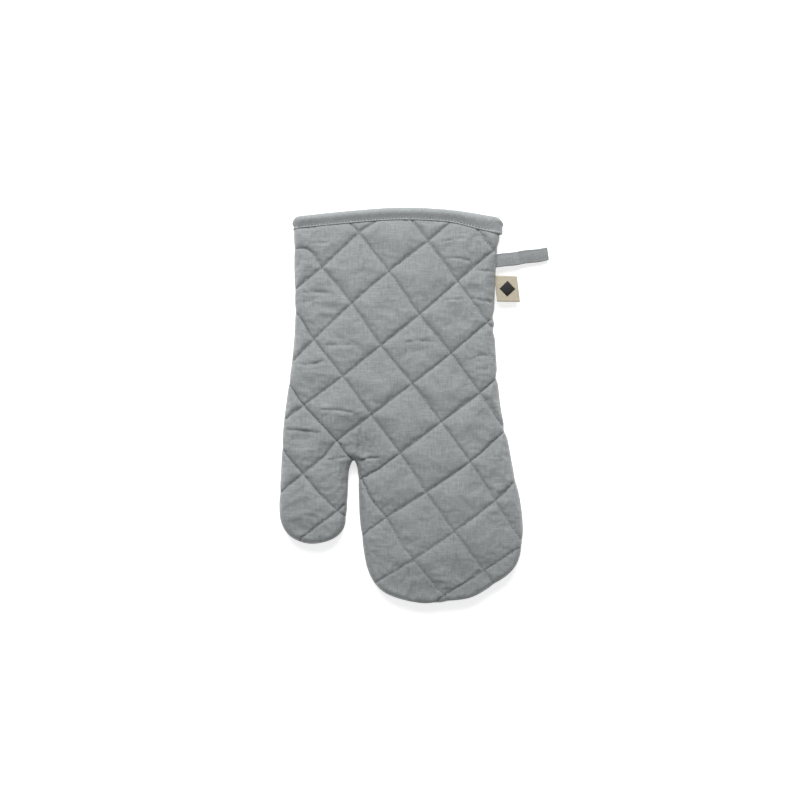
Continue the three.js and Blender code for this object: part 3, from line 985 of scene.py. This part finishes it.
def in_thumb(flat):
    """Which flat points are on the thumb's side of the quilting line that joins it to the hand."""
    start, end = (np.linalg.norm(PLAIN_SEAM - p, axis=1).argmin() for p in (THUMB_LINE[0], THUMB_LINE[-1]))
    round_thumb = PLAIN_SEAM[start:end + 1]
    outside = round_thumb + inward_normals(round_thumb) * -5
    return inside(flat, np.vstack([QUILTING[0][::-1], outside]))


def two_pieces(name, outer, inner, cut, material):
    """A closed layer of the mitt, parted at the thumb's line into the hand's piece and the thumb's."""
    points, _, faces, face_side = cut
    thumb = in_thumb(points[faces].mean(1))
    made = []
    for part, chosen in (("hand", ~thumb), ("thumb", thumb)):
        corners = points[faces[chosen]] + BACK_OFFSET * (face_side[chosen] < 0)[:, None, None]
        made.append(thicken(f"{part}_{name}", outer, inner, faces[chosen], corners, material))
    return made


def make_quilting(material):
    """The outer cloth with its wadding, in both panels."""
    flat, faces, on_seam, on_line = flat_panel(STEP, True)
    cut = bag(flat, faces, on_seam)
    points, side, both, _ = cut
    line = np.concatenate([on_line, on_line[~on_seam]])
    seam = np.concatenate([on_seam, on_seam[~on_seam]])
    outer = simulate(points, side, both, line, seam, QUILTING)
    return two_pieces("quilting", outer, layer(points, side, PANEL_THICK), cut, material)


def make_lining(material):
    """The lining of both panels, just inside the wadding."""
    flat, faces, on_seam, _ = flat_panel(LINING_STEP, False)
    cut = bag(flat, faces, on_seam)
    points, side, _, _ = cut
    outer = layer(points, side, PANEL_THICK + LINING_GAP)
    inner = layer(points, side, PANEL_THICK + LINING_GAP + LINING_THICK)
    return two_pieces("lining", outer, inner, cut, material)


def quilting_runs():
    """The part of each quilting line that is sewn through, parted into the hand's and the thumb's."""
    outline = np.vstack([notched_seam(RUN_OUTLINE_STEP), MOUTH_CURVE[::-1]])
    hand, thumb = [], []
    for k, line in enumerate(QUILTING):
        fine = resample(line, RUN_STEP)
        fine = fine[inside(fine, outline) & (fine[:, 1] < binding_edge(fine[:, 0]))]
        on_thumb = in_thumb(fine) & (k > 0)
        change = np.flatnonzero(np.diff(on_thumb.astype(int))) + 1
        for run in np.split(np.arange(len(fine)), change):
            if len(run) > SHORTEST_RUN:
                (thumb if on_thumb[run[0]] else hand).append(fine[run])
    return hand, thumb


def make_camera():
    """A camera straight above the mitt."""
    lens = bpy.data.cameras.new("camera")
    camera = bpy.data.objects.new("camera", lens)
    bpy.context.scene.collection.objects.link(camera)
    lens.sensor_width = SENSOR
    lens.lens = SENSOR * CAMERA_HEIGHT / VIEW_WIDTH
    camera.location = (*VIEW_CENTRE, CAMERA_HEIGHT + CAMERA_FOCUS_Z)
    bpy.context.scene.camera = camera


def make_key_light():
    """One large soft light, from over the mouth's end."""
    lamp = bpy.data.lights.new("key", "AREA")
    lamp.shape = "DISK"
    lamp.size = KEY_SIZE
    lamp.energy = KEY_POWER
    obj = bpy.data.objects.new("key", lamp)
    obj.location = KEY_PLACE
    obj.rotation_mode = "QUATERNION"
    obj.rotation_quaternion = (-Vector(KEY_PLACE)).to_track_quat("-Z", "Y")
    bpy.context.scene.collection.objects.link(obj)


def make_floor():
    """Plain white paper that glows a little, so that only the mitt's shadow shows on it."""
    paper, _, face = new_look("paper")
    face.inputs["Base Color"].default_value = (FLOOR_SHADE, FLOOR_SHADE, FLOOR_SHADE, 1)
    face.inputs["Emission Color"].default_value = (1, 1, 1, 1)
    face.inputs["Emission Strength"].default_value = FLOOR_GLOW
    face.inputs["Roughness"].default_value = 0.9
    face.inputs["Specular IOR Level"].default_value = 0.0
    w = FLOOR_HALF / MM
    floor = mesh_object("floor", [(-w, -w, 0), (w, -w, 0), (w, w, 0), (-w, w, 0)], [(0, 1, 2, 3)], paper)


def make_world():
    """An even white light from all round."""
    scene = bpy.context.scene
    scene.view_settings.view_transform = "Standard"
    world = bpy.data.worlds.new("studio")
    scene.world = world
    world.use_nodes = True
    sky = world.node_tree.nodes["Background"]
    sky.inputs[0].default_value = (1, 1, 1, 1)
    sky.inputs[1].default_value = WORLD_STRENGTH


make_camera()
make_world()
make_key_light()
make_floor()

chambray = woven("chambray", (104, 108, 109), (146, 150, 151))
chambray_bias = woven("chambray_bias", (111, 115, 116), (154, 158, 159), turn=math.pi / 4, slubs=0.15)
chambray_tape = woven("chambray_tape", (107, 110, 112), (147, 151, 152), slubs=0.1)
lining_cotton = woven("lining_cotton", (168, 165, 158), (192, 189, 182), pitch=0.5, slubs=0.05)
label_cotton = woven("label_cotton", (150, 142, 124), (182, 174, 155), pitch=0.45, slubs=0.05)
grey_thread = yarn("grey_thread", (72, 76, 78), (112, 116, 117))
quilting_thread = yarn("quilting_thread", (106, 110, 112), (146, 150, 151))
black_thread = yarn("black_thread", (16, 17, 18), (52, 53, 54))

hand_quilting, thumb_quilting = make_quilting(chambray)
hand_lining, thumb_lining = make_lining(lining_cotton)
hand_runs, thumb_runs = quilting_runs()
hand_stitches = stitch_rows("hand_stitches", hand_runs, quilting_thread)
thumb_stitches = stitch_rows("thumb_stitches", thumb_runs, quilting_thread)

binding = make_binding(chambray_bias)
share = np.linspace(*TOPSTITCH_ENDS, TOPSTITCH_POINTS)
down = BINDING_STITCH * binding_flare(mouth_point(share, 0)[:, 0])
binding_stitches = stitch_rows("binding_stitches", [mouth_point(share, down)], grey_thread,
                               BINDING_STITCH_DEPTH)
loop = make_loop(chambray_tape)
label, mark = make_label(label_cotton, black_thread)

# ---- What the binding, the loop and the label ride on, and which CAD nodes each piece stands for ----

PADDING = ("outer_cloth", "wadding")
HAND_SIDES = ("palm", "back", "finger_palm", "finger_back")
THUMB_SIDES = ("thumb_palm", "thumb_back")


def bend_with(obj):
    """Bakes the piece's placement into its mesh."""
    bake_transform(obj)


bend_with(hand_quilting)
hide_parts(*(f"{side}_{part}" for side in HAND_SIDES for part in PADDING),
            "left_seam_allowance", "right_seam_allowance", "crotch_seam_allowance", "finger_seam_allowance")
bend_with(thumb_quilting)
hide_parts(*(f"{side}_{part}" for side in THUMB_SIDES for part in PADDING),
            "thumb_seam_allowance")
bend_with(hand_lining)
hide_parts(*(f"{side}_lining" for side in HAND_SIDES))
bend_with(thumb_lining)
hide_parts(*(f"{side}_lining" for side in THUMB_SIDES))
for obj, side in zip(hand_stitches, ("palm", "back")):
    bend_with(obj)
    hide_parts(f"{side}_quilting_thread", f"finger_{side}_quilting_thread")
for obj, side in zip(thumb_stitches, ("palm", "back")):
    bend_with(obj)
    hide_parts(f"thumb_{side}_quilting_thread")
for obj in (binding, *binding_stitches):
    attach(obj, "hand")
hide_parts("cuff_binding")
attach(loop, "loop")
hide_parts("hanging_loop")
for obj in (label, mark):
    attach(obj, "label")
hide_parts("label_tab")
